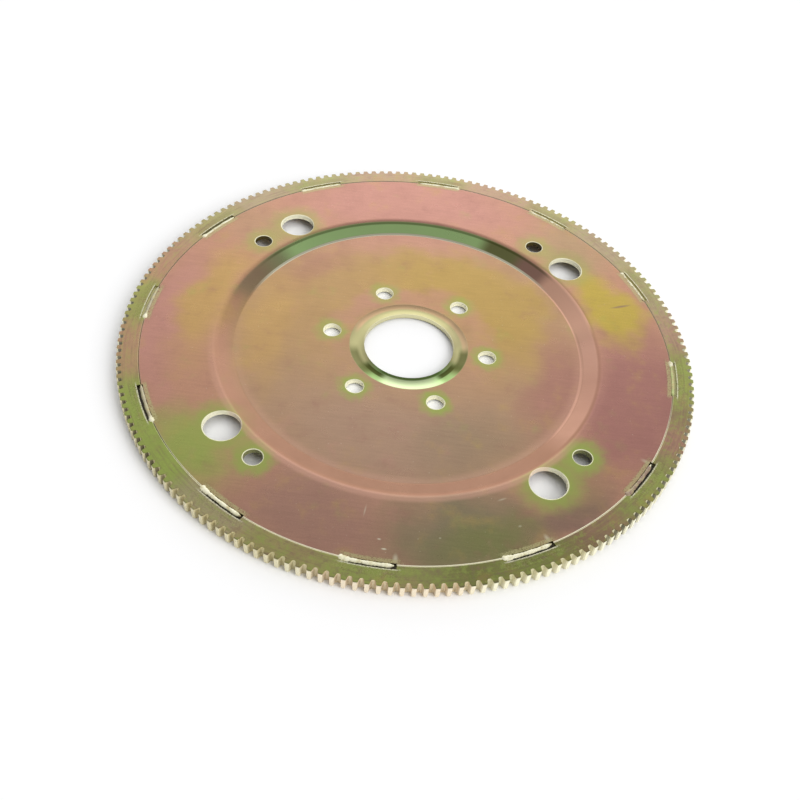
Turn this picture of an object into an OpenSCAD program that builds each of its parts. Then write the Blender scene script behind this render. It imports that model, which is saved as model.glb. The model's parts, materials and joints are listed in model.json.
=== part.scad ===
// Flexplate: a dished steel disc with a starter ring gear stitch-welded round its rim.
// It lies with the ring gear's underside on Z = 0 and its recessed side up, turning axis on Z.
// +X runs through a converter stud hole, the crank bolt hole in line with it and a tooth gap.

/* [Ring gear] */
// Pitch diameter of the ring's teeth, 15 1/3 in
ring_pitch_d = 389.47; // [384:0.01:430]
// Number of teeth round the ring, 12 to each inch of pitch diameter
ring_teeth = 184; // [160:1:200]
// Pressure angle of the tooth flanks
pressure_angle = 14.5; // [14.5:0.5:25]
// Height of a tooth above the pitch circle
tooth_addendum = 1.3; // [1:0.05:2]
// Depth of a tooth gap below the pitch circle
tooth_dedendum = 2.27; // [1.8:0.01:2.6]
// Backlash taken off the thickness of each tooth
tooth_backlash = 0.1; // [0:0.01:0.3]
// Radius in the two corners of each tooth gap
root_fillet_r = 0.5; // [0.2:0.05:0.7]
// Height of the ring along the axis
ring_h = 9.8; // [9:0.1:14]
// Radial width of the solid rim under the teeth
ring_rim_w = 10.96; // [8:0.01:14]
// Chamfer on the tooth tips at the upper face
tip_chamfer = 0.5; // [0.2:0.05:1]
// Lead-in chamfer on the tooth tips at the lower face, where the pinion enters
entry_chamfer = 1.2; // [0.5:0.05:2]
// Width taken off each flank at the lower face by the slanted lead-in
flank_lead_in = 0.45; // [0.2:0.05:0.7]
// Height above the lower face at which that lead-in starts
flank_lead_in_h = 4.4; // [1:0.1:6]
// Chamfer round the lower edge of the ring's bore
bore_chamfer = 0.6; // [0.3:0.05:1.5]

/* [Pressed disc] */
// Thickness of the steel sheet
sheet_t = 3.4; // [2.5:0.1:4]
// Depth of the pressed centre below the outer annulus
dish_depth = 5.2; // [3:0.1:5.5]
// Diameter at which the annulus plane meets the sloping wall
dish_rim_d = 263; // [255:0.5:268]
// Diameter at which the sloping wall meets the centre floor
dish_floor_d = 239.6; // [225:0.1:245]
// Outside bend radius at the top of the wall
rim_bend_r = 12; // [6:0.5:20]
// Inside bend radius at the foot of the wall
foot_bend_r = 3; // [1:0.25:8]

/* [Hub] */
// Diameter of the hole in the middle
hub_hole_d = 62; // [56:0.1:68]
// Outer diameter of the shallow channel coined round the hole
hub_channel_d = 82.4; // [78:0.1:90]
// Depth of that channel below the floor
hub_channel_depth = 0.9; // [0.4:0.05:1.2]

/* [Crank bolt holes] */
// Number of crank bolt holes
crank_hole_count = 6; // [4:1:8]
// Bolt circle of the crank holes
crank_circle_d = 109.1; // [105:0.1:118]
// Diameter of a crank bolt hole
crank_hole_d = 11.4; // [9:0.1:13]
// Hole that is set off its even place, so that the disc goes on one way only
crank_index_hole = 2; // [0:1:3]
// Angle by which that hole is set off
crank_index_angle = 3.3; // [0:0.1:5]

/* [Converter holes] */
// Number of stud holes, and of access holes
converter_hole_count = 4; // [3:1:4]
// Circle on which the stud and access holes lie, 11 7/16 in
converter_circle_d = 290.51; // [286:0.01:300]
// Diameter of a stud hole
stud_hole_d = 12; // [9:0.1:14]
// Diameter of an access hole
access_hole_d = 23.8; // [18:0.1:27]
// Angle from each access hole to its stud hole
access_angle = 12.7; // [10:0.1:45]

/* [Edges and seam] */
// Rounded-over entry of the punched holes, as a chamfer
hole_edge = 0.6; // [0.2:0.05:1]
// Chamfer on each side of the seam between disc and ring
seam_chamfer = 0.4; // [0.2:0.05:0.8]
// Gap between the disc's edge and the ring's bore
seam_clearance = 0.1; // [0.05:0.01:0.3]

/* [Stitch welds] */
// Number of stitch welds round the seam
weld_count = 12; // [6:1:18]
// Length of each weld, as an angle
weld_arc = 10; // [6:0.5:14]
// Angle from +X to the middle of the first weld
weld_phase = 3.95; // [0:0.05:30]
// How far each weld reaches into the disc from the seam
weld_inset = 1.1; // [0.6:0.1:2]
// Width of the weld bead across the seam
weld_bead_w = 2.4; // [1.8:0.1:3.5]
// Width of the undercut left open between the bead and the ring
weld_undercut_w = 1.5; // [0.5:0.1:2.5]
// Depth of the weld trench below the upper face
weld_depth = 1.4; // [0.8:0.1:2]
// Height of the bead's rounded back above its shoulders
weld_crown = 0.9; // [0.4:0.05:1.2]
// Height of the bead's back above the upper face
weld_proud = 0.2; // [0:0.05:0.4]
// Clearance between the end of a bead and the end of its trench
weld_end_clearance = 0.3; // [0.1:0.05:1]

/* [Hidden] */
ROUND = 360;
BEND_STEPS = 6;
FLANK_STEPS = 2;
PAST = 1;
// Foot of the lead-in cuts above the floor of the gap, in fillet radii
LEAD_IN_FOOT = 1.5;

pitch_r = ring_pitch_d / 2;
tooth_module = ring_pitch_d / ring_teeth;
base_r = pitch_r * cos(pressure_angle);
tip_r = pitch_r + tooth_addendum;
root_r = pitch_r - tooth_dedendum;
tooth_pitch_angle = 360 / ring_teeth;
tooth_t = PI * tooth_module / 2 - tooth_backlash;
lead_in_foot_r = root_r + LEAD_IN_FOOT * root_fillet_r;
// How far the lead-in cuts reach from the flank into the open gap
lead_in_reach = root_fillet_r;

top_z = ring_h;
floor_z = top_z - dish_depth;
bore_r = root_r - ring_rim_w;
disc_r = bore_r - seam_clearance;
rim_r = dish_rim_d / 2;
foot_r = dish_floor_d / 2;
wall_angle = atan2(dish_depth, rim_r - foot_r);
foot_centre = [foot_r - foot_bend_r * tan(wall_angle / 2), floor_z + foot_bend_r];
rim_centre = [rim_r + rim_bend_r * tan(wall_angle / 2), top_z - rim_bend_r];

hub_r = hub_hole_d / 2;
channel_w = hub_channel_d / 2 - hub_r;
channel_r = (channel_w ^ 2 / 4 + hub_channel_depth ^ 2) / (2 * hub_channel_depth);
channel_spread = asin(channel_w / 2 / channel_r);
channel_centre = [hub_r + channel_w / 2, floor_z - hub_channel_depth + channel_r];

trench_in_r = disc_r - weld_inset;
bead_out_r = trench_in_r + weld_bead_w;
trench_out_r = bead_out_r + weld_undercut_w;
trench_z = top_z - weld_depth;
weld_end_angle = weld_end_clearance / disc_r * 180 / PI;

weld_names = [for (i = [1:weld_count]) str("weld_bead_", i < 10 ? "0" : "", i)];

function arc(centre, r, from, to, steps) =
    [for (i = [0:steps]) centre + r * polar(from + (to - from) * i / steps)];
function polar(a) = [cos(a), sin(a)];
function reversed(points) = [for (i = [len(points) - 1:-1:0]) points[i]];

function involute(a) = tan(a) * 180 / PI - a;
// Angle between a tooth's centre line and its flank at radius r
function half_tooth(r) =
    tooth_t / 2 / pitch_r * 180 / PI + involute(pressure_angle) - involute(acos(base_r / r));

// One side of a tooth from the gap's floor up to the tip: corner of the gap, then the flank
function tooth_side() =
    let (flank_r = root_r + root_fillet_r)
    let (corner_a = half_tooth(root_r) + root_fillet_r / root_r * 180 / PI)
    concat(
        [[root_r, corner_a]],
        [for (i = [0:FLANK_STEPS])
            let (r = flank_r + (tip_r - flank_r) * i / FLANK_STEPS)
            [r, half_tooth(r)]]
    );

module gear_outline() {
    side = tooth_side();
    polygon([
        for (k = [0:ring_teeth - 1])
            let (mid = (k + 1 / 2) * tooth_pitch_angle)
            for (p = concat(
                [for (q = side) q[0] * polar(mid - q[1])],
                [for (q = reversed(side)) q[0] * polar(mid + q[1])]
            )) p
    ]);
}

// Slanted cuts on both flanks of every tooth at the lower face, where the pinion enters
module flank_lead_ins() {
    foot = lead_in_foot_r * polar(half_tooth(lead_in_foot_r));
    tip = tip_r * polar(half_tooth(tip_r));
    along = atan2(tip.y - foot.y, tip.x - foot.x);
    rise = flank_lead_in_h / flank_lead_in;
    for (k = [0:ring_teeth - 1], side = [0, 1])
        rotate([0, 0, (k + 1 / 2) * tooth_pitch_angle]) mirror([0, side, 0])
            translate(foot) rotate([90, 0, 90 + along])
                linear_extrude(height = norm(tip - foot) + PAST)
                    polygon([
                        [-flank_lead_in - PAST / rise, -PAST],
                        [lead_in_reach, -PAST],
                        [lead_in_reach, flank_lead_in_h + lead_in_reach * rise]
                    ]);
}

// Section of the turned ring blank: bore, seam chamfer, and the chamfers that cut the tooth tips
module ring_section() {
    outer_r = tip_r + PAST;
    polygon([
        [bore_r, bore_chamfer],
        [bore_r + bore_chamfer, 0],
        [tip_r - entry_chamfer, 0],
        [outer_r, entry_chamfer + PAST],
        [outer_r, top_z - tip_chamfer - PAST],
        [tip_r - tip_chamfer, top_z],
        [bore_r + seam_chamfer, top_z],
        [bore_r, top_z - seam_chamfer]
    ]);
}

// Upper line of the disc's section, from the hub hole out to the annulus
function upper_line() = concat(
    arc(channel_centre, channel_r, -90 - channel_spread, -90 + channel_spread, BEND_STEPS),
    bend(foot_centre, foot_bend_r, -90, -90 + wall_angle),
    bend(rim_centre, rim_bend_r, 90 + wall_angle, 90)
);
// Lower line of the section, one sheet thickness below: flat under the channel
function lower_line() = concat(
    [[hub_r, floor_z - sheet_t]],
    bend(foot_centre, foot_bend_r + sheet_t, -90, -90 + wall_angle),
    bend(rim_centre, rim_bend_r - sheet_t, 90 + wall_angle, 90)
);
function bend(centre, r, from, to) = arc(centre, r, from, to, BEND_STEPS);

module disc_section() {
    polygon(concat(
        upper_line(),
        [
            [disc_r - seam_chamfer, top_z],
            [disc_r, top_z - seam_chamfer],
            [disc_r, top_z - sheet_t]
        ],
        reversed(lower_line())
    ));
}

// A punched hole at radius r and angle a, with its entry rounded over at height z
module punched_hole(d, r, a, z) {
    rotate([0, 0, a]) translate([r, 0, 0]) {
        translate([0, 0, -PAST]) cylinder(d = d, h = top_z + 2 * PAST, $fn = ROUND / 4);
        translate([0, 0, z - hole_edge])
            cylinder(r1 = d / 2, r2 = d / 2 + 2 * hole_edge, h = 2 * hole_edge, $fn = ROUND / 4);
    }
}

module crank_holes() {
    for (i = [0:crank_hole_count - 1]) {
        shift = i == crank_index_hole ? crank_index_angle : 0;
        punched_hole(crank_hole_d, crank_circle_d / 2, i * 360 / crank_hole_count + shift, floor_z);
    }
}

module converter_holes() {
    for (i = [0:converter_hole_count - 1]) {
        a = i * 360 / converter_hole_count;
        punched_hole(stud_hole_d, converter_circle_d / 2, a, top_z);
        punched_hole(access_hole_d, converter_circle_d / 2, a - access_angle, top_z);
    }
}

module at_weld(i) {
    rotate([0, 0, weld_phase + i * 360 / weld_count - weld_arc / 2]) children();
}

// Trenches melted into both sides of the seam
module weld_trenches() {
    for (i = [0:weld_count - 1])
        at_weld(i) rotate([0, 0, -weld_end_angle])
            rotate_extrude(angle = weld_arc + 2 * weld_end_angle, $fn = ROUND)
                translate([trench_in_r, trench_z])
                    square([trench_out_r - trench_in_r, weld_depth + PAST]);
}

module flex_disc() {
    color([0.76, 0.60, 0.42]) difference() {
        rotate_extrude($fn = ROUND) disc_section();
        crank_holes();
        converter_holes();
        weld_trenches();
    }
}

module ring_gear() {
    color([0.62, 0.57, 0.38]) difference() {
        intersection() {
            difference() {
                rotate_extrude($fn = ROUND) ring_section();
                weld_trenches();
            }
            translate([0, 0, -PAST]) linear_extrude(height = ring_h + 2 * PAST) gear_outline();
        }
        flank_lead_ins();
    }
}

module weld_bead(i) {
    shoulder_z = top_z + weld_proud - weld_crown;
    back = [for (a = [180:-180 / BEND_STEPS:0])
        [trench_in_r + weld_bead_w / 2 * (1 + cos(a)), shoulder_z + weld_crown * sin(a)]];
    color([0.86, 0.80, 0.62]) at_weld(i)
        rotate_extrude(angle = weld_arc, $fn = ROUND)
            polygon(concat([[trench_in_r, trench_z]], back, [[bead_out_r, trench_z]]));
}

flex_disc();
ring_gear();
for (i = [0:weld_count - 1]) weld_bead(i);
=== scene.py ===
"""Dresses the flexplate in its CAD frame: plated disc, ring gear, stitch welds and a small studio."""

import json
import math
from collections import namedtuple

import bpy
from bpy.props import FloatProperty, FloatVectorProperty, IntProperty, PointerProperty
from mathutils import Color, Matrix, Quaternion, Vector


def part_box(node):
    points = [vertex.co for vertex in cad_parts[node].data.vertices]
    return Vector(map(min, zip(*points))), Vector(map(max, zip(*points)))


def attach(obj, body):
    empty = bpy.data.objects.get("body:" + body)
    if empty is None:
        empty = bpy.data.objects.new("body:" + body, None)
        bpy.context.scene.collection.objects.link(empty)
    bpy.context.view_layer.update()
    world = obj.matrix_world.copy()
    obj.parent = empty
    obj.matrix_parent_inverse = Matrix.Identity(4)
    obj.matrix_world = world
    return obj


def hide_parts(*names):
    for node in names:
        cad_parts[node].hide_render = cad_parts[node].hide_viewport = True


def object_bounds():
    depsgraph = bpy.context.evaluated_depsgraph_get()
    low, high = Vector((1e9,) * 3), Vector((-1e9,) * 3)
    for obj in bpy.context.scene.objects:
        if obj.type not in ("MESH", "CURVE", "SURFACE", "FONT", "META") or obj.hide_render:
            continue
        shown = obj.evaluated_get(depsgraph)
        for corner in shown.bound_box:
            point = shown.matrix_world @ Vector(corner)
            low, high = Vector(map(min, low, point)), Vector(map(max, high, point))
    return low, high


bl_info = {
    "name": "Flexplate",
    "version": (1, 0, 0),
    "blender": (4, 5, 0),
    "location": "3D View > Sidebar > Flexplate",
    "description": "Plated flexplate with its ring gear, stitch welds and studio, built on its CAD frame",
    "category": "Add Mesh",
}

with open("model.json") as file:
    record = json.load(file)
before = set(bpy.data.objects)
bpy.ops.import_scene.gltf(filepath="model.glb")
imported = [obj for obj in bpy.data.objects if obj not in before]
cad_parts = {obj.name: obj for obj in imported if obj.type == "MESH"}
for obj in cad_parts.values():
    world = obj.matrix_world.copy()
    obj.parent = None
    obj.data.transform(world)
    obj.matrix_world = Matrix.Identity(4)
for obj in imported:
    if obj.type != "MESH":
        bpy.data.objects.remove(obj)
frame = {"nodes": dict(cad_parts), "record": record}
CAD_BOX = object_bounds()
MM = 0.001
MERGE_WITHIN = 0.002 * MM
DEGENERATE_BELOW = 0.005 * MM
FLAT_NORMAL_Z = 0.99999
MOUNTS = {mount["name"]: mount for mount in frame["record"]["mounts"]}
DISC_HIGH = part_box("flex_disc")[1]
RING_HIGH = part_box("ring_gear")[1]
WELD_NODES = sorted(name for name in frame["nodes"] if name.startswith("weld_bead"))


def mount_size(mount, key):
    """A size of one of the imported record's mounts, in metres."""
    return MOUNTS[mount]["dims"][key] * MM


def length(name, description, default_mm):
    """A length property whose default is given in millimetres."""
    return FloatProperty(
        name=name, description=description, default=default_mm * MM, unit="LENGTH", precision=5)


def angle(name, description, default_deg):
    """An angle property whose default is given in degrees."""
    return FloatProperty(
        name=name, description=description, default=math.radians(default_deg), subtype="ANGLE")


def tone(description, red, green, blue):
    """A colour property, given as it looks on a screen and kept in linear light."""
    shown = Color((red / 255, green / 255, blue / 255))
    return FloatVectorProperty(
        name=description.split(",")[0], description=description, default=shown.from_srgb_to_scene_linear(),
        subtype="COLOR", min=0, max=1)


class DiscSizes(bpy.types.PropertyGroup):
    """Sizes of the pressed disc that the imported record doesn't state."""

    dish_depth: length("Dish depth", "How far the centre lies below the outer annulus", 5.2)
    dish_rim_d: length("Dish rim", "Diameter at which the annulus meets the sloping wall", 263)
    dish_floor_d: length("Dish floor", "Diameter at which the wall meets the centre floor", 239.6)
    rim_bend_r: length("Rim bend", "Outside bend radius at the top of the wall", 12)
    foot_bend_r: length("Foot bend", "Inside bend radius at the foot of the wall", 3)
    channel_d: length("Hub channel", "Outer diameter of the channel coined round the hub hole", 82.4)
    channel_depth: length("Channel depth", "Depth of the hub channel", 0.9)
    access_d: length("Access hole", "Diameter of an access hole", 23.8)
    access_lead: angle("Access lead", "Angle from an access hole to its stud hole", 12.7)
    index_hole: angle("Index hole", "Place of the crank hole that is set off its even place", 123.3)
    hole_edge: length("Hole edge", "Radius on the entry of the punched holes", 0.7)
    seam_edge: length("Seam edge", "Chamfer on both sides of the seam", 0.4)


class RingSizes(bpy.types.PropertyGroup):
    """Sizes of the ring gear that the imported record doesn't state."""

    teeth: IntProperty(name="Teeth", description="Number of teeth", default=184, min=100)
    pitch_d: length("Pitch diameter", "Pitch diameter of the teeth", 389.47)
    root_d: length("Root diameter", "Diameter at the floor of the tooth gaps", 384.94)
    bore_d: length("Bore", "Diameter of the ring's bore", 363.02)
    pressure_angle: angle("Pressure angle", "Pressure angle of the flanks", 14.5)
    backlash: length("Backlash", "Taken off the thickness of each tooth", 0.1)
    tip_chamfer: length("Tip chamfer", "Chamfer on the tips at the upper face", 0.5)
    entry_chamfer: length("Entry chamfer", "Chamfer on the tips at the lower face", 1.2)
    lead_in: length("Lead-in", "Taken off each flank at the lower face", 0.45)
    lead_in_h: length("Lead-in height", "Height at which the lead-in starts", 4.4)
    edge: length("Edge", "Width of the broken edges of the teeth", 0.22)


class WeldSizes(bpy.types.PropertyGroup):
    """Sizes of the stitch welds and their trenches."""

    arc: angle("Weld arc", "Length of each weld", 10)
    phase: angle("First weld", "Angle from +X to the middle of the first weld", 3.95)
    bead_w: length("Bead width", "Width of the bead", 2.4)
    inset: length("Inset", "How far the trench reaches into the disc", 1.1)
    trench_w: length("Trench width", "Width of the trench across the seam", 3.9)
    trench_depth: length("Trench depth", "Depth of the trench", 1.4)


class Finish(bpy.types.PropertyGroup):
    """Tones of the yellow zinc plating, which shimmers from rose over gold to green, and the tones in which
    light and shade are painted on it: painted highlights, painted reflections and painted shade.
    """

    rose: tone("Rose, ground of the annulus", 203, 154, 128)
    tan: tone("Tan, ground of the floor", 195, 157, 122)
    fawn: tone("Fawn, near side of the floor", 189, 156, 133)
    gold: tone("Gold, on the floor", 195, 163, 99)
    honey: tone("Honey, where gold goes over into rose", 206, 168, 110)
    yellow: tone("Yellow, patch on the annulus", 201, 177, 86)
    mauve: tone("Mauve, darker rose", 181, 130, 120)
    brown: tone("Brown, dull rose", 178, 138, 122)
    olive: tone("Olive, where rose goes over into green", 152, 138, 110)
    moss: tone("Moss, dark green", 141, 142, 92)
    green: tone("Green, round the holes and welds", 168, 183, 98)
    dusk: tone("Dusk, dark rose", 152, 124, 110)
    salmon: tone("Salmon, pale rose", 207, 152, 139)
    terracotta: tone("Terracotta, near wall", 162, 121, 98)
    clay: tone("Clay, dusty yellow", 188, 160, 124)
    beige: tone("Beige, dusty ring", 190, 172, 142)
    blush: tone("Blush, lit wall", 243, 190, 167)
    peach: tone("Peach, wall beside the yellow patch", 255, 200, 172)
    mint: tone("Mint, wall that lies away from the light", 206, 243, 165)
    straw: tone("Straw, hub channel", 206, 200, 146)
    apricot: tone("Apricot, outside of the hub channel", 250, 211, 165)
    shade: tone("Shade, dark streak in the hub channel", 84, 88, 40)
    pine: tone("Pine, inner lip of the hub channel", 120, 146, 80)
    # Cream also carries the painted highlights on hole edges, seam and trench lip, and painted light on
    # hole walls and teeth.
    cream: tone("Cream, edges and tooth lands", 250, 246, 217)
    # Umber is painted shade on the far stud holes' walls, and real dust and scorch elsewhere.
    umber: tone("Umber, walls of the stud holes on the far side", 84, 72, 30)
    # Soot and shade: a little scorch in the weld trenches, and painted shade in the trench slots and on the
    # tooth flanks.
    soot: tone("Soot, bottom of the weld trenches", 38, 30, 14)


class Studio(bpy.types.PropertyGroup):
    """Camera and floor."""

    camera_at: FloatVectorProperty(
        name="Camera", description="Where the camera stands", default=(0.3894, 0.2877, 0.4845),
        subtype="TRANSLATION")
    camera_aim: FloatVectorProperty(
        name="Aim", description="Point at the middle of the picture", default=(0.0462, 0.0322, 0.0098),
        subtype="TRANSLATION")
    camera_roll: angle("Roll", "How far the camera is tilted to its side", 6.62)
    lens: FloatProperty(
        name="Lens", description="Focal length in millimetres, on a 36 mm sensor", default=44.28)
    floor_size: length("Floor", "Side of the floor", 6000)


def edit():
    """Into edit mode with everything selected."""
    bpy.ops.object.mode_set(mode="EDIT")
    bpy.ops.mesh.select_all(action="SELECT")


def deselect():
    """Into object mode with nothing selected."""
    if bpy.context.mode != "OBJECT":
        bpy.ops.object.mode_set(mode="OBJECT")
    bpy.ops.object.select_all(action="DESELECT")


def activate(piece):
    """Makes this piece the active one and the only one selected."""
    deselect()
    piece.select_set(True)
    bpy.context.view_layer.objects.active = piece


def start_point(name, at):
    """A new piece in edit mode, whose mesh is one selected point."""
    deselect()
    bpy.ops.mesh.primitive_plane_add(size=MM)
    piece = bpy.context.object
    piece.name = piece.data.name = name
    edit()
    bpy.ops.mesh.merge(type="CENTER")
    bpy.ops.transform.translate(value=at)
    return piece


def draw(name, points):
    """A new piece in edit mode: a line drawn through the points and back to the first."""
    points = [Vector(p) for p in points]
    piece = start_point(name, points[0])
    for here, there in zip(points, points[1:] + points[:1]):
        bpy.ops.mesh.extrude_region_move(TRANSFORM_OT_translate={"value": there - here})
    clean()
    return piece


def clean():
    """Merges what coincides and points all normals out."""
    bpy.ops.mesh.select_all(action="SELECT")
    bpy.ops.mesh.remove_doubles(threshold=MERGE_WITHIN)
    bpy.ops.mesh.normals_make_consistent(inside=False)


def lathe(name, section, steps, turn=2 * math.pi):
    """A section of (radius, height) points turned round Z. A part turn is closed at its ends."""
    piece = draw(name, [(r, 0, z) for r, z in section])
    if turn < 2 * math.pi:
        bpy.ops.mesh.edge_face_add()
    bpy.ops.mesh.spin(steps=steps, angle=-turn, center=(0, 0, 0), axis=(0, 0, 1))
    clean()
    bpy.ops.object.mode_set(mode="OBJECT")
    return piece


def turn_selected(by):
    """Turns the selection round Z, anticlockwise from above."""
    bpy.ops.transform.rotate(value=-by, orient_axis="Z", center_override=(0, 0, 0))


def repeat_round(piece, angles):
    """Copies the piece's mesh to each of these angles round Z, in one object."""
    activate(piece)
    edit()
    turn_selected(angles[0])
    for before, after in zip(angles, angles[1:]):
        bpy.ops.mesh.duplicate()
        turn_selected(after - before)
    bpy.ops.object.mode_set(mode="OBJECT")
    return piece


def apply_modifier(piece, kind, **settings):
    """Gives the piece a modifier with these settings, and applies it."""
    activate(piece)
    modifier = piece.modifiers.new(kind.lower(), kind)
    for key, value in settings.items():
        setattr(modifier, key, value)
    bpy.ops.object.modifier_apply(modifier=modifier.name)


def cut(piece, cutter):
    """Takes the cutter's shape out of the piece, and removes the cutter."""
    apply_modifier(piece, "BOOLEAN", operation="DIFFERENCE", solver="EXACT", object=cutter)
    bpy.data.objects.remove(cutter)


def smooth(piece, sharp_deg):
    """Smooth shading where faces meet at less than this angle. Level faces stay flat."""
    activate(piece)
    edit()
    bpy.ops.mesh.dissolve_degenerate(threshold=DEGENERATE_BELOW)
    bpy.ops.object.mode_set(mode="OBJECT")
    bpy.ops.object.shade_smooth_by_angle(angle=math.radians(sharp_deg))
    for face in piece.data.polygons:
        face.use_smooth = face.use_smooth and abs(face.normal.z) < FLAT_NORMAL_Z


def arc(centre, radius, start_deg, end_deg, steps):
    """Points of an arc in (radius, height)."""
    angles = [math.radians(start_deg + (end_deg - start_deg) * i / steps) for i in range(steps + 1)]
    return [(centre[0] + radius * math.cos(a), centre[1] + radius * math.sin(a)) for a in angles]


def dress(piece, nodes, material):
    """Puts the piece on the part in place of its CAD nodes."""
    piece.data.materials.clear()
    piece.data.materials.append(material)
    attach(piece, "root")
    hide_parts(*nodes)


class Field:
    """A socket of a node tree, on which Python arithmetic adds Math nodes."""

    def __init__(self, tree, socket):
        self.tree, self.socket = tree, socket

    def maths(self, operation, *values):
        return self.tree.node("ShaderNodeMath", {"operation": operation}, dict(enumerate(values)))

    def __add__(self, other):
        return self.maths("ADD", self, other)

    def __sub__(self, other):
        return self.maths("SUBTRACT", self, other)

    def __rsub__(self, other):
        return self.maths("SUBTRACT", other, self)

    def __mul__(self, other):
        return self.maths("MULTIPLY", self, other)

    def __truediv__(self, other):
        return self.maths("DIVIDE", self, other)

    def __rtruediv__(self, other):
        return self.maths("DIVIDE", other, self)

    def __pow__(self, other):
        return self.maths("POWER", self, other)

    __radd__ = __add__
    __rmul__ = __mul__

    def at_least(self, other):
        return self.maths("MAXIMUM", self, other)

    def at_most(self, other):
        return self.maths("MINIMUM", self, other)

    def size(self):
        return self.maths("ABSOLUTE", self)

    def rise(self, start, end):
        """0 at start and 1 at end, softly; start may be the larger one."""
        return self.tree.node(
            "ShaderNodeMapRange", {"interpolation_type": "SMOOTHSTEP"},
            {"Value": self, "From Min": start, "From Max": end, "To Min": 0, "To Max": 1})

    def band(self, low, high, blur):
        """1 between low and high, fading to 0 over blur on both sides."""
        return self.rise(low - blur, low) * self.rise(high + blur, high)


class Tree:
    """A node tree that is written as expressions."""

    def __init__(self, owner):
        owner.use_nodes = True
        self.tree = owner.node_tree
        self.tree.nodes.clear()

    def node(self, kind, settings=(), inputs=(), output=0):
        """Adds a node: its settings first, then the values or links of its sockets."""
        node = self.tree.nodes.new(kind)
        for key, value in dict(settings).items():
            setattr(node, key, value)
        for key, value in dict(inputs).items():
            if isinstance(value, Field):
                self.tree.links.new(value.socket, node.inputs[key])
            else:
                node.inputs[key].default_value = value
        return Field(self, node.outputs[output]) if node.outputs else node

    def mix(self, a, b, share):
        """Colour a, with colour b laid over it by share."""
        a, b = ((*c, 1) if isinstance(c, tuple) else c for c in (a, b))
        return self.node("ShaderNodeMix", {"data_type": "RGBA"}, {0: share, 6: a, 7: b}, output=2)

    def vector(self, operation, *values, output=0):
        return self.node("ShaderNodeVectorMath", {"operation": operation}, dict(enumerate(values)), output)

    def noise(self, place, scale, detail=2, roughness=0.5, output=0):
        return self.node(
            "ShaderNodeTexNoise", {},
            {"Vector": place, "Scale": scale, "Detail": detail, "Roughness": roughness}, output)


Spot = namedtuple("Spot", "tone radius azimuth deep wide soft share")
Sector = namedtuple("Sector", "tone azimuth half blur share")
Hole = namedtuple("Hole", "circle azimuth radius halo share wall")


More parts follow.
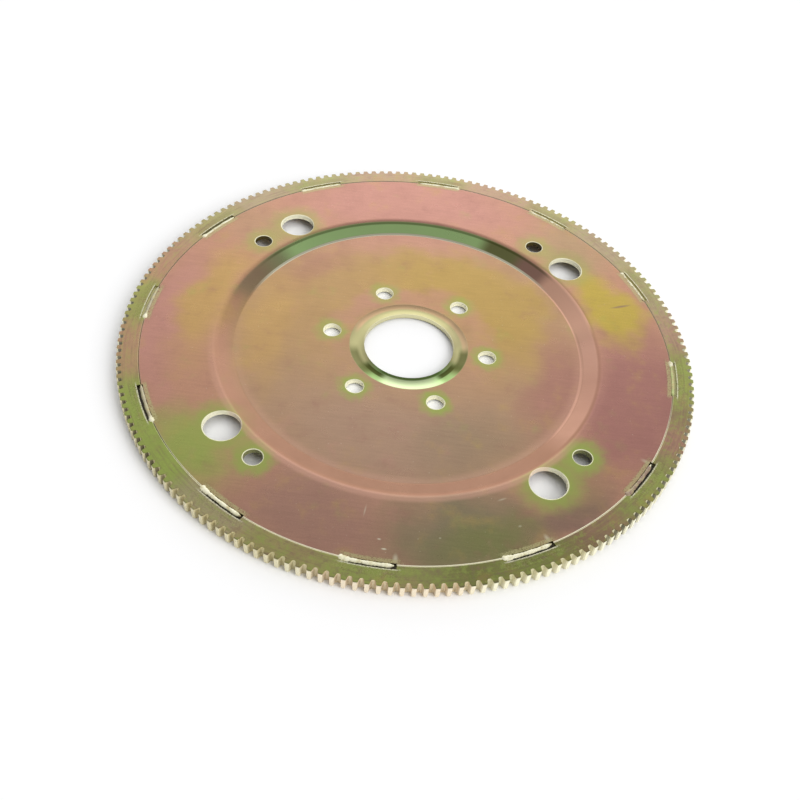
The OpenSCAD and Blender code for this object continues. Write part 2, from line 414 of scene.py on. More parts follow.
class Plating(Tree):
    """Yellow zinc plating on steel.
    Places are in millimetres of the part's frame, and azimuths in degrees from +X."""

    def __init__(self, name, finish, ground):
        self.material = bpy.data.materials.new(name)
        super().__init__(self.material)
        self.finish = finish
        coords = self.node("ShaderNodeTexCoord", output="Object")
        self.place = self.vector("MULTIPLY", coords, (1 / MM,) * 3)
        split = "ShaderNodeSeparateXYZ"
        self.x, self.y, self.z = (self.node(split, {}, {0: self.place}, i) for i in range(3))
        self.radius = self.hypot(self.x, self.y)
        self.azimuth = self.degrees(self.y, self.x)
        self.soft_place = self.shaken(scale=0.035, reach=34)
        self.ragged_place = self.shaken(scale=0.16, reach=10)
        self.tint = self.named(ground)
        self.dull = self.noise(self.place, 0.08, 4) * 0.16 + 0.22
        self.metal = 1.0

    @staticmethod
    def hypot(a, b):
        return (a * a + b * b) ** 0.5

    @staticmethod
    def degrees(opposite, adjacent):
        return opposite.maths("ARCTAN2", opposite, adjacent) * (180 / math.pi)

    def shaken(self, scale, reach):
        """The place, pushed about sideways by noise over this reach."""
        push = self.vector("SUBTRACT", self.noise(self.place, scale, 3, output="Color"), (0.5,) * 3)
        return self.vector("ADD", self.place, self.vector("MULTIPLY", push, (reach, reach, 0)))

    def named(self, tone_name):
        return tuple(getattr(self.finish, tone_name))

    def lay(self, tone_name, share):
        """Lays a tone of the finish over what is there already."""
        self.tint = self.mix(self.tint, self.named(tone_name), share)

    def turned(self, azimuth, place):
        """The place in a frame whose first axis points to the azimuth."""
        a = math.radians(azimuth)
        axes = (math.cos(a), math.sin(a), 0), (-math.sin(a), math.cos(a), 0)
        return [self.vector("DOT_PRODUCT", place, axis, output="Value") for axis in axes]

    def patch(self, spot, place=None):
        """A soft field round a spot, with the edge of a cloud unless another place is given."""
        out, side = self.turned(spot.azimuth, place or self.soft_place)
        across = (self.hypot(out, side) - spot.radius) / spot.deep
        along = self.degrees(side, out) * (math.radians(spot.radius) / spot.wide)
        return self.hypot(across, along).rise(1 + spot.soft, 1 - spot.soft) * spot.share

    def round_hole(self, hole, beyond, soft, share, place):
        """A round field that reaches this far past the edge of a hole."""
        reach = hole.radius + beyond
        return self.patch(Spot("", hole.circle, hole.azimuth, reach, reach, soft, share), place)

    def sector(self, azimuth, half, blur):
        """1 within this many degrees of the azimuth."""
        out, side = self.turned(azimuth, self.place)
        return self.degrees(side, out).size().rise(half + blur, half)

    def folded(self, count, phase):
        """Degrees from the nearest of these even places round the axis."""
        step = 360 / count
        return self.azimuth.maths("WRAP", self.azimuth - phase, step / 2, -step / 2)

    def mottle(self, streaks):
        """Clouds and grain that break up every field, and streaks along the first of these coordinates."""
        clouds = self.noise(self.place, 0.06, 4, 0.6) - 0.5
        grain = self.noise(self.place, 1.3, 3, 0.7) - 0.5
        tinge = self.noise(self.place, 0.045, 3, 0.6) - 0.5
        self.lay("gold", clouds.rise(0.02, 0.3) * 0.35)
        self.lay("mauve", clouds.rise(-0.05, -0.3) * 0.3)
        self.lay("green", tinge.rise(0.08, 0.3) * 0.25)
        self.lay("salmon", tinge.rise(-0.08, -0.3) * 0.3)
        self.tint = self.node("ShaderNodeVectorMath", {"operation": "SCALE"}, {
            0: self.tint, "Scale": 1 + clouds * 0.16 + grain * 0.3 + (self.streaks(streaks) - 0.5) * 0.22})

    def streaks(self, place):
        """Fine lines along the first of two coordinates."""
        along, across = place
        stretched = self.node("ShaderNodeCombineXYZ", {}, {0: along * 0.04, 1: across * 0.7})
        return self.noise(stretched, 1, 3, 0.65)

    def surface(self):
        """Finishes the material, with a faint orange peel."""
        peel = self.noise(self.place, 0.5, 3) + self.noise(self.place, 4, 2) * 0.15
        bump = self.node("ShaderNodeBump", {}, {"Strength": 0.3, "Distance": 0.05 * MM, "Height": peel})
        shader = self.node("ShaderNodeBsdfPrincipled", {}, {
            "Base Color": self.tint, "Roughness": self.dull, "Metallic": self.metal, "Normal": bump})
        self.node("ShaderNodeOutputMaterial", {}, {"Surface": shader})
        return self.material


ROLLED_ALONG = 126
WIDE_HALO, NARROW_HALO = 7, 4.5
# Stud holes: azimuth, share of the green halo, and the tone of the painted shade on the hole's wall.
STUD_HALOS = ((0, 0.9, "moss"), (90, 0.95, "moss"), (180, 0.45, "umber"), (270, 0.5, "umber"))
DISC_SPOTS = (
    Spot("fawn", 86, 32, 42, 84, 0.7, 0.9),
    Spot("gold", 76, 250, 36, 100, 0.7, 0.4),
    Spot("gold", 74, 178, 32, 74, 0.45, 0.95),
    Spot("gold", 107, 162, 12, 20, 0.6, 0.8),
    Spot("salmon", 51, 215, 9, 84, 0.6, 0.5),
    Spot("salmon", 112, 222, 10, 62, 0.7, 0.6),
    Spot("honey", 102, 305, 15, 52, 0.6, 0.7),
    Spot("mauve", 108, 113, 17, 44, 0.7, 0.75),
    Spot("mauve", 103, 264, 12, 26, 0.7, 0.45),
    Spot("olive", 94, 66, 26, 30, 0.8, 0.4),
    Spot("mauve", 157, 113, 34, 66, 0.5, 1.0),
    Spot("brown", 158, 20, 34, 44, 0.6, 0.9),
    Spot("olive", 160, 52, 34, 42, 0.6, 1.0),
    Spot("moss", 172, 58, 14, 34, 0.8, 0.85),
    Spot("dusk", 171, 76, 12, 26, 0.6, 0.85),
    Spot("clay", 165, 173, 22, 34, 0.6, 0.8),
    Spot("yellow", 152, 148, 22, 36, 0.35, 0.95),
    Spot("salmon", 157, 221, 36, 92, 0.5, 0.85),
    Spot("clay", 162, 266, 26, 20, 0.8, 0.4),
    Spot("honey", 145, 298, 17, 52, 0.6, 0.95),
    Spot("salmon", 174, 312, 11, 70, 0.7, 0.8),
    Spot("green", 171, 349, 17, 30, 0.7, 0.9),
    Spot("moss", 150, 82, 18, 22, 0.8, 0.35),
)
FLECKS = (
    Spot("cream", 165.2, 35.1, 0.5, 0.9, 0.7, 0.6),
    Spot("cream", 171.5, 36.3, 0.5, 1.3, 0.7, 0.8),
    Spot("cream", 162.5, 47.5, 0.4, 0.6, 0.7, 0.4),
    Spot("cream", 143.0, 64.2, 0.5, 2.2, 0.9, 0.3),
    Spot("cream", 147.0, 30.9, 3.0, 0.4, 0.9, 0.3),
    Spot("cream", 164.0, 64.7, 0.6, 0.9, 0.9, 0.3),
    Spot("cream", 177.8, 38.6, 2.8, 1.2, 0.9, 0.5),
    Spot("cream", 178.0, 68.3, 2.6, 1.2, 0.9, 0.5),
    Spot("cream", 178.2, 98.4, 2.6, 1.2, 0.9, 0.35),
    Spot("dusk", 161.5, 148.3, 6.5, 0.9, 0.7, 0.75),
)
RING_SECTORS = (
    Sector("beige", 205, 55, 35, 0.9),
    Sector("moss", 62, 14, 22, 0.75),
    Sector("olive", 40, 25, 20, 0.4),
    Sector("green", 20, 40, 30, 0.45),
    Sector("brown", 106, 8, 9, 0.6),
    Sector("mauve", 136, 6, 9, 0.3),
    Sector("green", 346, 14, 8, 1.0),
    Sector("beige", 3, 5, 6, 0.8),
    Sector("shade", 63, 10, 10, 0.4),
    Sector("pine", 92, 6, 8, 0.4),
    Sector("pine", 121, 7, 8, 0.4),
    Sector("mauve", 78, 4, 5, 0.4),
    Sector("salmon", 198, 7, 7, 0.35),
    Sector("salmon", 227, 6, 6, 0.25),
)


def disc_plating(finish, sizes, welds):
    """Plating of the disc: cloudy fields and halos round the holes, with painted reflections on the lit
    walls and the hub channel, painted highlights on the hole edges and the seam, and scorched welds with
    painted shade in their slots.
    """
    plating = Plating("disc plating", finish, "rose")
    rim, foot = sizes.dish_rim_d / 2 / MM, sizes.dish_floor_d / 2 / MM
    plating.lay("tan", plating.radius.rise(rim - 3.5, foot - 1.8))
    for spot in DISC_SPOTS:
        plating.lay(spot.tone, plating.patch(spot))
    plating.mottle(plating.turned(ROLLED_ALONG, plating.place))
    for fleck in FLECKS:
        plating.lay(fleck.tone, plating.patch(fleck, plating.place))
    dust = plating.noise(plating.place, 0.7, 3, 0.6)
    plating.lay("cream", dust.rise(0.68, 0.76) * 0.35)
    plating.lay("umber", dust.rise(0.3, 0.22) * 0.25)
    ring_holes(plating, sizes)
    light_walls(plating, rim, foot)
    light_channel(plating, mount_size("hub_hole", "r_mm") / MM, sizes.channel_d / 2 / MM)
    weld_scorch_and_painted_light(plating, welds)
    return plating.surface()


def ring_holes(plating, sizes):
    """Green halos round the punched holes, a painted highlight on their rounded edges, and painted light
    and shade on their walls: cream where lit, moss and umber where in shade.
    """
    stud_circle = mount_size("converter_studs", "pcd_mm") / 2 / MM
    crank_circle = mount_size("crank_holes_across", "spacing_x_mm") / 2 / MM
    stud, crank = (mount_size(row, "hole_r_mm") / MM for row in ("converter_studs", "crank_holes_across"))
    access, edge = sizes.access_d / 2 / MM, sizes.hole_edge / MM
    lead, index = math.degrees(sizes.access_lead), math.degrees(sizes.index_hole)
    holes = []
    for azimuth, share, wall in STUD_HALOS:
        holes.append(Hole(stud_circle, azimuth, stud, WIDE_HALO, share, wall))
        holes.append(Hole(stud_circle, azimuth - lead, access, WIDE_HALO, share, "cream"))
    for azimuth, share in ((0, 0.9), (60, 0.95), (index, 0.8), (180, 0.7), (240, 0.6), (300, 0.7)):
        holes.append(Hole(crank_circle, azimuth, crank, NARROW_HALO, share, "cream"))
    for hole in holes:
        plating.lay("green", plating.round_hole(hole, hole.halo, 0.45, hole.share, plating.ragged_place))
        # Painted highlight: cream on the rounded entry of each hole.
        rim = plating.round_hole(hole, edge, 0.02, 1, plating.place)
        plating.lay("cream", rim * 0.85)
        # Painted light and shade on the hole's wall: cream on lit walls, moss and umber on the stud holes'
        # shaded walls.
        plating.lay(hole.wall, plating.round_hole(hole, 0.15, 0.01, 1, plating.place))
        plating.metal = plating.metal * (1 - rim * 0.75)


def light_walls(plating, rim, foot):
    """What the sloping wall mirrors: warm on the near side, green with a dark brow on the far side."""
    radius, sector = plating.radius, plating.sector
    wall = radius.band(foot + 2, rim - 2, 1.8)
    near = sector(45, 35, 80)
    plating.lay("terracotta", radius.band(foot + 0.4, rim, 1.8) * near)
    plating.lay("blush", radius.rise(foot - 7.8, foot - 0.8) * radius.rise(foot, foot - 1) * near * 0.3)
    plating.lay("blush", radius.band(rim + 2.3, rim + 3.5, 3.5) * near * (0.4 - sector(128, 30, 15) * 0.32))
    plating.lay("blush", radius.band(foot - 0.4, foot + 0.6, 0.8) * sector(125, 28, 12) * 0.45)
    plating.lay("blush", wall * (sector(154, 20, 16) * 0.7 + sector(108, 12, 12) * 0.3))
    plating.lay("peach", radius.band(foot, rim - 0.5, 1) * sector(156, 10, 9) * 0.9)
    plating.lay("mint", wall * sector(232, 36, 14))
    plating.lay("olive", wall * sector(280, 8, 9) * 0.7)
    plating.lay("brown", wall * sector(176, 5, 6))
    plating.lay("moss", wall * sector(187, 4, 6))
    plating.lay("shade", radius.band(rim - 2.6, rim - 1.7, 1) * sector(222, 46, 14) * 0.6)
    plating.lay("cream", radius.band(foot, foot + 1.2, 0.6) * sector(226, 46, 20))


def light_channel(plating, hub, outer):
    """What the channel round the hub hole mirrors."""
    radius, sector = plating.radius, plating.sector
    channel = radius.rise(outer + 0.4, outer - 0.6)
    plating.lay("straw", channel)
    plating.lay("apricot", channel * radius.rise(hub + 5, hub + 7.5) * sector(210, 70, 20))
    plating.lay("olive", channel * sector(150, 12, 14) * 0.35)
    plating.lay("mint", channel * sector(44, 42, 14))
    plating.lay("pine", channel * (sector(358, 10, 10) + sector(92, 10, 10)) * 0.6)
    plating.lay("cream", channel * sector(42, 20, 18) * 0.45)
    streaks = sector(338, 12, 16) * 0.7 + sector(112, 10, 14) * 0.8
    plating.lay("shade", channel * radius.rise(hub + 2.5, hub + 6) * streaks)
    corners = sector(358, 8, 10) + sector(90, 8, 10)
    plating.lay("shade", radius.band(hub + 2.6, hub + 5, 0.8) * corners * 0.9)
    plating.lay("pine", radius.rise(hub + 2.4, hub + 1.4) * sector(44, 34, 14))
    plating.lay("cream", radius.rise(hub + 1, hub + 0.2) * sector(216, 80, 20) * 0.35)


def weld_scorch_and_painted_light(plating, welds):
    """Frosted edge beside each weld, a painted highlight along the seam and the trench's outer lip, and the
    dark slot along the bead in scorch and painted shade.
    """
    place = plating.folded(len(WELD_NODES), math.degrees(welds.phase))
    half = math.degrees(welds.arc) / 2
    inside = DISC_HIGH.x / MM - plating.radius
    grit = plating.noise(plating.place, 1.2, 3, 0.8)
    near = place.size().rise(half + 1.2, half - 0.5)
    frost = place.size().rise(half + 2.5, half - 0.5) * inside.band(-7, 3, 3)
    # Painted highlights: a ragged bright line on the trench's outer lip, and a bright line along the seam,
    # stronger on the near side.
    lip = welds.inset / MM - welds.trench_w / MM
    edge = inside.band(lip - 0.7, lip, 0.3) * near * grit.rise(0.35, 0.55)
    seam = inside.band(-0.45, 0.35, 0.2) * (0.3 + plating.sector(50, 50, 25) * 0.55)
    plating.lay("straw", frost * grit.rise(0.52, 0.66) * 0.55)
    plating.lay("umber", frost * grit.rise(0.46, 0.34) * (0.45 - plating.sector(205, 60, 20) * 0.35))
    plating.lay("straw", near * inside.band(1.1, 3.2, 0.8) * grit.rise(0.35, 0.55) * 0.8)
    plating.lay("cream", seam + edge * 0.9)
    plating.dull = plating.dull + frost * grit * 0.2
    top = DISC_HIGH.z / MM
    low = plating.z.rise(top - 0.25, top - 0.7)
    trench = low * near * inside.band(lip + 0.05, welds.inset / MM, 0.05)
    # Painted shade in the slot: straw on the trench floor, then a little scorch everywhere, much darker in
    # the sectors where the slot shows as a dark line, most on the near side.
    dark = plating.sector(40, 68, 18) * 0.85 + plating.sector(333, 12, 5) * 0.8
    dark = dark + plating.sector(273, 8, 5) * 0.5 + 0.15
    plating.lay("straw", trench)
    plating.lay("soot", trench * dark)
    groove = inside.band(-0.5, 0.4, 0.1) * plating.sector(50, 50, 25)
    plating.metal = plating.metal * (1 - (trench + groove).at_most(1) * 0.7)


def ring_plating(finish, sizes, welds):
    """Plating of the ring: green beside the welds, rose between them, and cream on the tooth lands, with
    painted light and shade on the teeth.
    """
    plating = Plating("ring plating", finish, "rose")
    tip, top, root = RING_HIGH.x / MM, RING_HIGH.z / MM, sizes.root_d / 2 / MM
    plating.lay("clay", 0.35)
    for part in RING_SECTORS:
        plating.lay(part.tone, plating.sector(part.azimuth, part.half, part.blur) * part.share)
    beside = plating.folded(len(WELD_NODES), math.degrees(welds.phase)).size()
    cloud = plating.noise(plating.place, 0.12, 3) * 10 - 5
    dusty = plating.sector(198, 48, 20) * 0.4 + plating.sector(60, 10, 14) * 0.5
    dusty = dusty + plating.sector(3, 7, 5) * 0.65 + plating.sector(272, 9, 5) * 0.35
    plating.lay("green", (beside + cloud).rise(11, 3) * (0.75 - dusty))
    patches = plating.noise(plating.place, 0.2, 4, 0.7)
    patchy = 1 - plating.sector(210, 50, 20) * 0.5 - plating.sector(310, 40, 20) * 0.6
    plating.lay("green", patches.rise(0.51, 0.62) * patchy * 0.5)
    plating.lay("dusk", patches.rise(0.48, 0.37) * patchy * 0.4)
    round_ring = plating.azimuth * math.radians(tip), plating.radius
    streaks = plating.streaks(round_ring)
    plating.lay("green", streaks.rise(0.5, 0.72) * 0.35)
    plating.lay("dusk", streaks.rise(0.5, 0.3) * 0.35)
    plating.mottle(round_ring)
    # Painted light and shade on the teeth: cream on their sides, partly the lands' own pale tone and partly
    # painted light that lifts the shaded gap floors, straw lighting the root walls, blush lighting the near
    # side, and olive and the dark soot tone as painted shade on the flanks.
    side = plating.z.rise(top - 0.1, top - 0.5) * plating.radius.rise(root - 0.6, root - 0.2)
    flank = side * plating.radius.band(root + 0.6, tip - 1.2, 0.4)
    plating.lay("cream", side)
    plating.lay("straw", side * plating.radius.rise(root + 0.9, root + 0.4) * 0.5)
    plating.lay("olive", flank * 0.25)
    plating.lay("yellow", side * plating.sector(352, 22, 14) * 0.35)
    plating.lay("blush", side * plating.sector(38, 10, 8) * 0.25)
    # Painted shade on the flanks on the left and right, where the gaps are seen edge-on.
    plating.lay("soot", flank * (plating.sector(318, 28, 12) + plating.sector(106, 22, 12)) * 0.7)
    plating.metal = plating.metal * (1 - side * 0.6)
    weld_scorch_and_painted_light(plating, welds)
    return plating.surface()


def weld_metal(finish, welds):
    """Bright weld metal under a thin gold film, with a dull run on the welds at both sides."""
    plating = Plating("weld metal", finish, "cream")
    plating.metal = 0.3
    film = plating.noise(plating.place, 0.35, 3)
    place = plating.folded(len(WELD_NODES), math.degrees(welds.phase))
    arc_deg, top = math.degrees(welds.arc), DISC_HIGH.z / MM
    run = place.rise(arc_deg * 0.42, arc_deg * 0.36)
    plating.lay("dusk", plating.sector(94, 10, 5) * run * 0.95)
    plating.lay("green", plating.sector(124, 10, 5) * run * 0.8)
    plating.lay("olive", plating.sector(318, 24, 8) * run * 0.7)
    plating.lay("clay", plating.sector(160, 30, 15) * film.rise(0.4, 0.6) * 0.6)
    plating.lay("straw", film.rise(0.4, 0.65) * 0.5)
    plating.lay("honey", film.rise(0.6, 0.75) * 0.5)
    plating.lay("umber", plating.noise(plating.place, 0.9, 3, 0.7).rise(0.62, 0.7) * 0.6)
    # Darker towards the foot of the bead, down in the trench.
    plating.lay("soot", plating.z.rise(top - 0.8, top - 1.3) * 0.8)
    return plating.surface()


class FLEXPLATE_OT_disc(bpy.types.Operator):
    """Pressed disc with its hub channel, punched holes and weld trenches"""

    bl_idname = "flexplate.disc"
    bl_label = "Pressed disc"
    STEPS = 360
    HOLE_STEPS = 48
    SHARP_DEG = 8
    FLOOR_RINGS_MM = (42.2, 46.5, 63, 70, 78, 86, 94, 102, 110)
    ANNULUS_RINGS_MM = (0.5, 4, 12, 20, 28, 36, 44)

    def execute(self, context):
        sizes, welds = context.scene.flexplate_disc, context.scene.flexplate_welds
        disc = lathe("pressed_disc", self.section(sizes), self.STEPS)
        cut(disc, self.hole_cutters(sizes))
        cut(disc, trench_cutters(welds))
        smooth(disc, self.SHARP_DEG)
        material = disc_plating(context.scene.flexplate_finish, sizes, welds)
        dress(disc, ["flex_disc"], material)
        return {"FINISHED"}

    def section(self, sizes):
        """Outline of the sheet, from the hub channel out along the top and back along the underside."""
        top, sheet = DISC_HIGH.z, mount_size("hub_hole", "length_mm")
        floor, hub_r = top - sizes.dish_depth, mount_size("hub_hole", "r_mm")
        rim_r, foot_r = sizes.dish_rim_d / 2, sizes.dish_floor_d / 2
        slope = math.atan2(sizes.dish_depth, rim_r - foot_r)
        slope_deg = math.degrees(slope)
        foot = (foot_r - sizes.foot_bend_r * math.tan(slope / 2), floor + sizes.foot_bend_r)
        rim = (rim_r + sizes.rim_bend_r * math.tan(slope / 2), top - sizes.rim_bend_r)
        half = (sizes.channel_d / 2 - hub_r) / 2
        channel_r = (half ** 2 + sizes.channel_depth ** 2) / (2 * sizes.channel_depth)
        spread = math.degrees(math.asin(half / channel_r))
        channel = (hub_r + half, floor - sizes.channel_depth + channel_r)
        disc_r, edge = DISC_HIGH.x, sizes.seam_edge
        upper = arc(channel, channel_r, -90 - spread, -90 + spread, 12)
        upper += [(r * MM, floor) for r in self.FLOOR_RINGS_MM] + [(foot[0] - MM, floor)]
        upper += arc(foot, sizes.foot_bend_r, -90, -90 + slope_deg, 6)
        upper += arc(rim, sizes.rim_bend_r, 90 + slope_deg, 90, 12)
        upper += [(rim[0] + reach * MM, top) for reach in self.ANNULUS_RINGS_MM]
        outer = [(disc_r - 3 * edge, top), *arc((disc_r - edge, top - edge), edge, 90, 0, 3)]
        outer.append((disc_r, top - sheet))
        lower = arc(rim, sizes.rim_bend_r - sheet, 90, 90 + slope_deg, 6)
        lower += arc(foot, sizes.foot_bend_r + sheet, -90 + slope_deg, -90, 6)
        return upper + outer + lower + [(hub_r, floor - sheet)]

    def hole_cutters(self, sizes):
        """One cutter for all punched holes, each flared where the punch went in."""
        top, edge = DISC_HIGH.z, sizes.hole_edge
        floor = top - sizes.dish_depth
        stud_r = mount_size("converter_studs", "hole_r_mm")
        crank_r = mount_size("crank_holes_across", "hole_r_mm")
        stud_circle = mount_size("converter_studs", "pcd_mm") / 2
        crank_circle = mount_size("crank_holes_across", "spacing_x_mm") / 2
        quarter, sixth = math.pi / 2, math.pi / 3
        rows = [
            (stud_r, stud_circle, top, [i * quarter for i in range(4)]),
            (sizes.access_d / 2, stud_circle, top, [i * quarter - sizes.access_lead for i in range(4)]),
            (crank_r, crank_circle, floor, [sizes.index_hole if i == 2 else i * sixth for i in range(6)]),
        ]
        cutters = []
        for radius, circle, height, angles in rows:
            flare = [(radius + edge - x, z) for x, z in arc((0, height - edge), edge, 0, 90, 4)]
            section = [(0, -MM), (radius, -MM), *flare, (radius + edge, top + MM), (0, top + MM)]
            cutter = lathe("hole_cutter", section, self.HOLE_STEPS)
            edit()
            bpy.ops.transform.translate(value=(circle, 0, 0))
            cutters.append(repeat_round(cutter, angles))
        deselect()
        for cutter in cutters:
            cutter.select_set(True)
        bpy.context.view_layer.objects.active = cutters[0]
        bpy.ops.object.join()
        return cutters[0]


def trench_cutters(sizes):
    """One cutter for the trenches that the welds melted along the seam."""
    top = DISC_HIGH.z
    inner = DISC_HIGH.x - sizes.inset
    outer = inner + sizes.trench_w
    low = top - sizes.trench_depth
    section = [(inner, top + MM), (inner, low), (outer, low), (outer, top + MM)]
    cutter = lathe("trench_cutter", section, 12, sizes.arc)
    first, count = sizes.phase - sizes.arc / 2, len(WELD_NODES)
    return repeat_round(cutter, [first + i * math.tau / count for i in range(count)])


class FLEXPLATE_OT_ring(bpy.types.Operator):
    """Ring gear with its teeth, their lead-ins and the weld trenches"""

    bl_idname = "flexplate.ring"
    bl_label = "Ring gear"
    SHARP_DEG = 40
    BROKEN_FROM_DEG = 32
    ROOT_FILLET = 0.5 * MM

    def execute(self, context):
        sizes, welds = context.scene.flexplate_ring, context.scene.flexplate_welds
        section = self.section(sizes, context.scene.flexplate_disc.seam_edge)
        ring = lathe("ring_gear_toothed", section, 2 * sizes.teeth)
        cut(ring, self.gap_cutters(sizes))
        cut(ring, trench_cutters(welds))
        apply_modifier(
            ring, "BEVEL", width=sizes.edge, segments=2, limit_method="ANGLE",
            angle_limit=math.radians(self.BROKEN_FROM_DEG))
        smooth(ring, self.SHARP_DEG)
        apply_modifier(ring, "WEIGHTED_NORMAL", keep_sharp=True, weight=100)
        material = ring_plating(context.scene.flexplate_finish, sizes, welds)
        dress(ring, ["ring_gear"], material)
        return {"FINISHED"}

    @staticmethod
    def section(sizes, seam_edge):
        tip, top, bore = RING_HIGH.x, RING_HIGH.z, sizes.bore_d / 2
        return [
            (bore, seam_edge), (bore + seam_edge, 0),
            (tip - sizes.entry_chamfer, 0), (tip, sizes.entry_chamfer),
            (tip, top - sizes.tip_chamfer), (tip - sizes.tip_chamfer, top),
            (bore + seam_edge, top), (bore, top - seam_edge),
        ]

    def gap_cutters(self, sizes):
        """One cutter for all tooth gaps: an involute gap, widened towards the lower face."""
        pitch_r, root_r, tip_r = sizes.pitch_d / 2, sizes.root_d / 2, RING_HIGH.x
        base_r = pitch_r * math.cos(sizes.pressure_angle)
        pitch_angle = math.tau / sizes.teeth
        tooth = math.pi * sizes.pitch_d / sizes.teeth / 2 - sizes.backlash

        def involute(a):
            return math.tan(a) - a

        def half_gap(r):
            flank = involute(sizes.pressure_angle) - involute(math.acos(base_r / r))
            return pitch_angle / 2 - tooth / 2 / pitch_r - flank

        fillet = self.ROOT_FILLET
        side = [(root_r, half_gap(root_r) - fillet / root_r)]
        for i in range(4):
            r = root_r + fillet + (tip_r + MM - root_r - fillet) * i / 3
            side.append((r, half_gap(r)))
        outline = [(r, -a) for r, a in reversed(side)] + side
        high = RING_HIGH.z + MM
        gap = draw("gap_cutter", [(r * math.cos(a), r * math.sin(a), high) for r, a in outline])
        bpy.ops.mesh.edge_face_add()
        bpy.ops.mesh.extrude_region_move(TRANSFORM_OT_translate={"value": (0, 0, sizes.lead_in_h - high)})
        bpy.ops.mesh.extrude_region_move(TRANSFORM_OT_translate={"value": (0, 0, -sizes.lead_in_h - MM)})
        half_w = tip_r * half_gap(tip_r)
        widen = 1 + sizes.lead_in * (1 + MM / sizes.lead_in_h) / half_w
        bpy.ops.transform.resize(value=(1, widen, 1), center_override=(0, 0, 0))
        clean()
        bpy.ops.object.mode_set(mode="OBJECT")
        return repeat_round(gap, [i * pitch_angle for i in range(sizes.teeth)])


class FLEXPLATE_OT_welds(bpy.types.Operator):
    """Stitch welds along the seam"""

    bl_idname = "flexplate.welds"
    bl_label = "Stitch welds"
    STEPS = 56
    SHARP_DEG = 50
    CLOCKWISE = (0, 1, 2, 3, 7)

    def execute(self, context):
        sizes = context.scene.flexplate_welds
        material = weld_metal(context.scene.flexplate_finish, sizes)
        forms = {name: self.bead(sizes, name == "clockwise") for name in ("clockwise", "anticlockwise")}
        for i, node in enumerate(WELD_NODES):
            activate(forms["clockwise" if i in self.CLOCKWISE else "anticlockwise"])
            bpy.ops.object.duplicate()
            bead = repeat_round(bpy.context.object, [i * math.tau / len(WELD_NODES)])
            bead.name = bead.data.name = "stitch_" + node[-2:]
            dress(bead, [node], material)
        for form in forms.values():
            bpy.data.objects.remove(form)
        return {"FINISHED"}

    @staticmethod
    def lump(along, middle, half):
        """A half round: 1 at the middle, 0 beyond this half width."""
        return max(0, 1 - ((along - middle) / half) ** 2) ** 0.5

    def bead(self, sizes, clockwise):
        """One bead on the first weld's place: its section drawn along the seam, swelling on its way.
        It has a ball at its clockwise or anticlockwise end and runs out thin at the other one."""
        half_w, low = 0.62 * sizes.bead_w, DISC_HIGH.z - sizes.trench_depth
        middle = DISC_HIGH.x - sizes.inset + sizes.bead_w / 2
        crown = CAD_BOX[1].z - low
        ends, ball_w = ((-0.6, 0.45), 0.7) if clockwise else ((-0.49, 0.58), 0.5)
        start, end = (sizes.phase + share * sizes.arc for share in ends)
        section = [(middle + half_w * math.cos(a), 0, low + crown * math.sin(a) ** 0.7)
                   for a in (math.pi * i / 10 for i in range(11))]
        bead = draw("bead", section)
        bpy.ops.mesh.edge_face_add()
        turn_selected(start)
        width = height = 1.0
        for i in range(self.STEPS + 1):
            along = i / self.STEPS
            here = start + (end - start) * along
            from_ball = along if clockwise else 1 - along
            ripple = 0.06 * math.sin(i * 1.7) + 0.09 * math.sin(i * 0.4 + 1)
            ball = self.lump(from_ball, 0.07, 0.075)
            if clockwise:
                ball = max(ball, 0.8 * self.lump(from_ball, 0.16, 0.07))
            slope = min(1, 0.3 + (1 - from_ball) * 9)
            stop = min(1, max(0.25, from_ball * 18))
            wanted_w = (0.88 + ripple + ball_w * ball) * slope * stop
            wanted_h = (0.92 + 0.4 * ripple + 0.22 * ball) * min(1, 0.6 + slope) * min(1, 0.5 + stop / 2)
            if i:
                bpy.ops.mesh.extrude_region_move()
                turn_selected((end - start) / self.STEPS)
            centre = Vector((middle * math.cos(here), middle * math.sin(here), low))
            bpy.ops.transform.resize(
                value=(wanted_w / width, wanted_w / width, wanted_h / height), center_override=centre)
            width, height = wanted_w, wanted_h
        clean()
        bpy.ops.object.mode_set(mode="OBJECT")
        smooth(bead, self.SHARP_DEG)
        return bead


Sun = namedtuple("Sun", "name way energy spread_deg")
SUNS = (
    Sun("overhead", (0.16, -0.05, -1), 1.0, 60),
    Sun("side", (0.072, -0.826, -0.559), 2.0, 40),
)


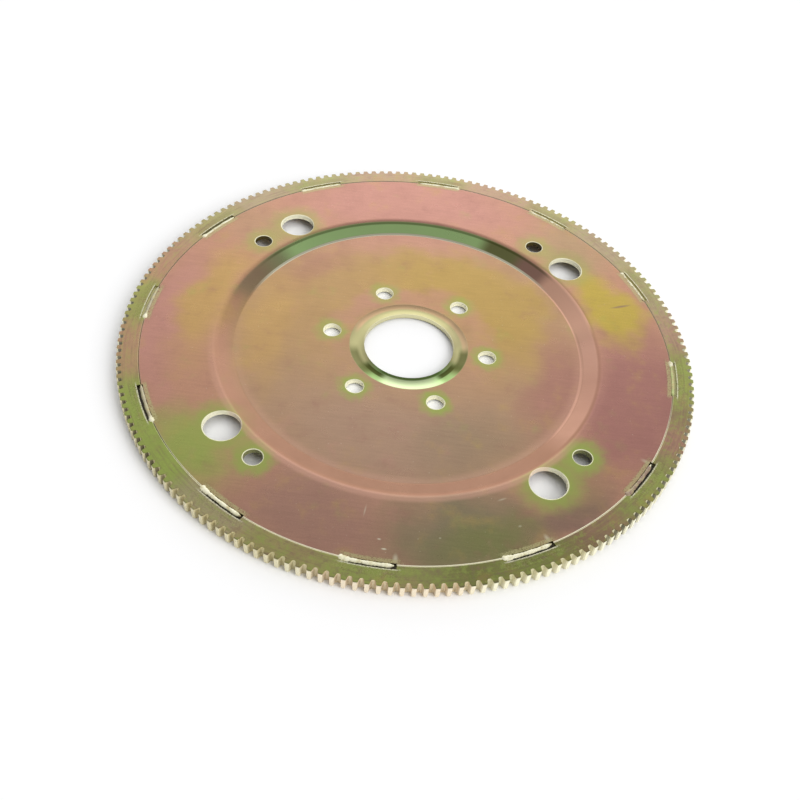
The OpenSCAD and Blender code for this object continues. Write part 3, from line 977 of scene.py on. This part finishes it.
class FLEXPLATE_OT_studio(bpy.types.Operator):
    """Floor, soft light and the camera"""

    bl_idname = "flexplate.studio"
    bl_label = "Studio"
    FLOOR_TONE = (0.935, 0.935, 0.94, 1)
    GLOW_FROM = (-0.8043, -0.5942)
    GLOW_LIFT = 0.35
    AMBIENT, GLOW, GLOW_FOCUS = 0.3, 1.2, 6
    SENSOR_MM = 36

    def execute(self, context):
        studio = context.scene.flexplate_studio
        context.scene.view_settings.view_transform = "Standard"
        self.lay_floor(studio)
        self.light()
        self.place_camera(context.scene, studio)
        return {"FINISHED"}

    def lay_floor(self, studio):
        deselect()
        bpy.ops.mesh.primitive_plane_add(size=studio.floor_size)
        floor = bpy.context.object
        floor.name = "floor"
        material = bpy.data.materials.new("floor white")
        tree = Tree(material)
        shader = tree.node("ShaderNodeBsdfPrincipled", {}, {
            "Base Color": self.FLOOR_TONE, "Roughness": 0.9, "Specular IOR Level": 0.0})
        tree.node("ShaderNodeOutputMaterial", {}, {"Surface": shader})
        floor.data.materials.append(material)

    def light(self):
        """A world that glows from the far side and is white to the camera, and two soft suns."""
        world = bpy.data.worlds.new("studio")
        bpy.context.scene.world = world
        tree = Tree(world)
        direction = tree.node("ShaderNodeTexCoord", output="Generated")
        across, up = math.cos(self.GLOW_LIFT), math.sin(self.GLOW_LIFT)
        far = Vector((self.GLOW_FROM[0] * across, self.GLOW_FROM[1] * across, up))
        toward = tree.vector("DOT_PRODUCT", direction, far, output="Value").at_least(0)
        level = self.AMBIENT + self.GLOW * toward ** self.GLOW_FOCUS
        seen = tree.node("ShaderNodeLightPath", output="Is Camera Ray")
        level = level + seen * (1 - level)
        shader = tree.node("ShaderNodeBackground", {}, {"Color": (1, 1, 1, 1), "Strength": level})
        tree.node("ShaderNodeOutputWorld", {}, {"Surface": shader})
        for sun in SUNS:
            deselect()
            bpy.ops.object.light_add(type="SUN", location=(0, 0, 2))
            lamp = bpy.context.object
            lamp.name = sun.name
            lamp.rotation_euler = Vector(sun.way).to_track_quat("-Z", "Y").to_euler()
            lamp.data.energy, lamp.data.angle = sun.energy, math.radians(sun.spread_deg)
            lamp.visible_glossy = False

    def place_camera(self, scene, studio):
        deselect()
        bpy.ops.object.camera_add(location=studio.camera_at)
        camera = bpy.context.object
        look = (Vector(studio.camera_aim) - Vector(studio.camera_at)).to_track_quat("-Z", "Y")
        camera.rotation_mode = "QUATERNION"
        camera.rotation_quaternion = look @ Quaternion((0, 0, 1), studio.camera_roll)
        camera.data.lens, camera.data.sensor_width = studio.lens, self.SENSOR_MM
        camera.data.clip_start, camera.data.clip_end = 0.01, 20
        scene.camera = camera


class FLEXPLATE_PT_panel(bpy.types.Panel):
    """Lists the steps that build the flexplate"""

    bl_idname = "FLEXPLATE_PT_panel"
    bl_label = "Flexplate"
    bl_space_type = "VIEW_3D"
    bl_region_type = "UI"
    bl_category = "Flexplate"

    def draw(self, context):
        for step in STEPS:
            self.layout.operator(step.bl_idname)
        for group in SETTINGS:
            settings = getattr(context.scene, group)
            box = self.layout.box()
            for key in settings.__annotations__:
                box.prop(settings, key)


SETTINGS = {
    "flexplate_disc": DiscSizes,
    "flexplate_ring": RingSizes,
    "flexplate_welds": WeldSizes,
    "flexplate_finish": Finish,
    "flexplate_studio": Studio,
}
STEPS = (FLEXPLATE_OT_disc, FLEXPLATE_OT_ring, FLEXPLATE_OT_welds, FLEXPLATE_OT_studio)
CLASSES = (*SETTINGS.values(), *STEPS, FLEXPLATE_PT_panel)


def register():
    for cls in CLASSES:
        bpy.utils.register_class(cls)
    for name, cls in SETTINGS.items():
        setattr(bpy.types.Scene, name, PointerProperty(type=cls))


def unregister():
    for name in SETTINGS:
        delattr(bpy.types.Scene, name)
    for cls in reversed(CLASSES):
        bpy.utils.unregister_class(cls)


def main():
    register()
    bpy.ops.flexplate.disc()
    bpy.ops.flexplate.ring()
    bpy.ops.flexplate.welds()
    bpy.ops.flexplate.studio()


if __name__ == "__main__":
    main()
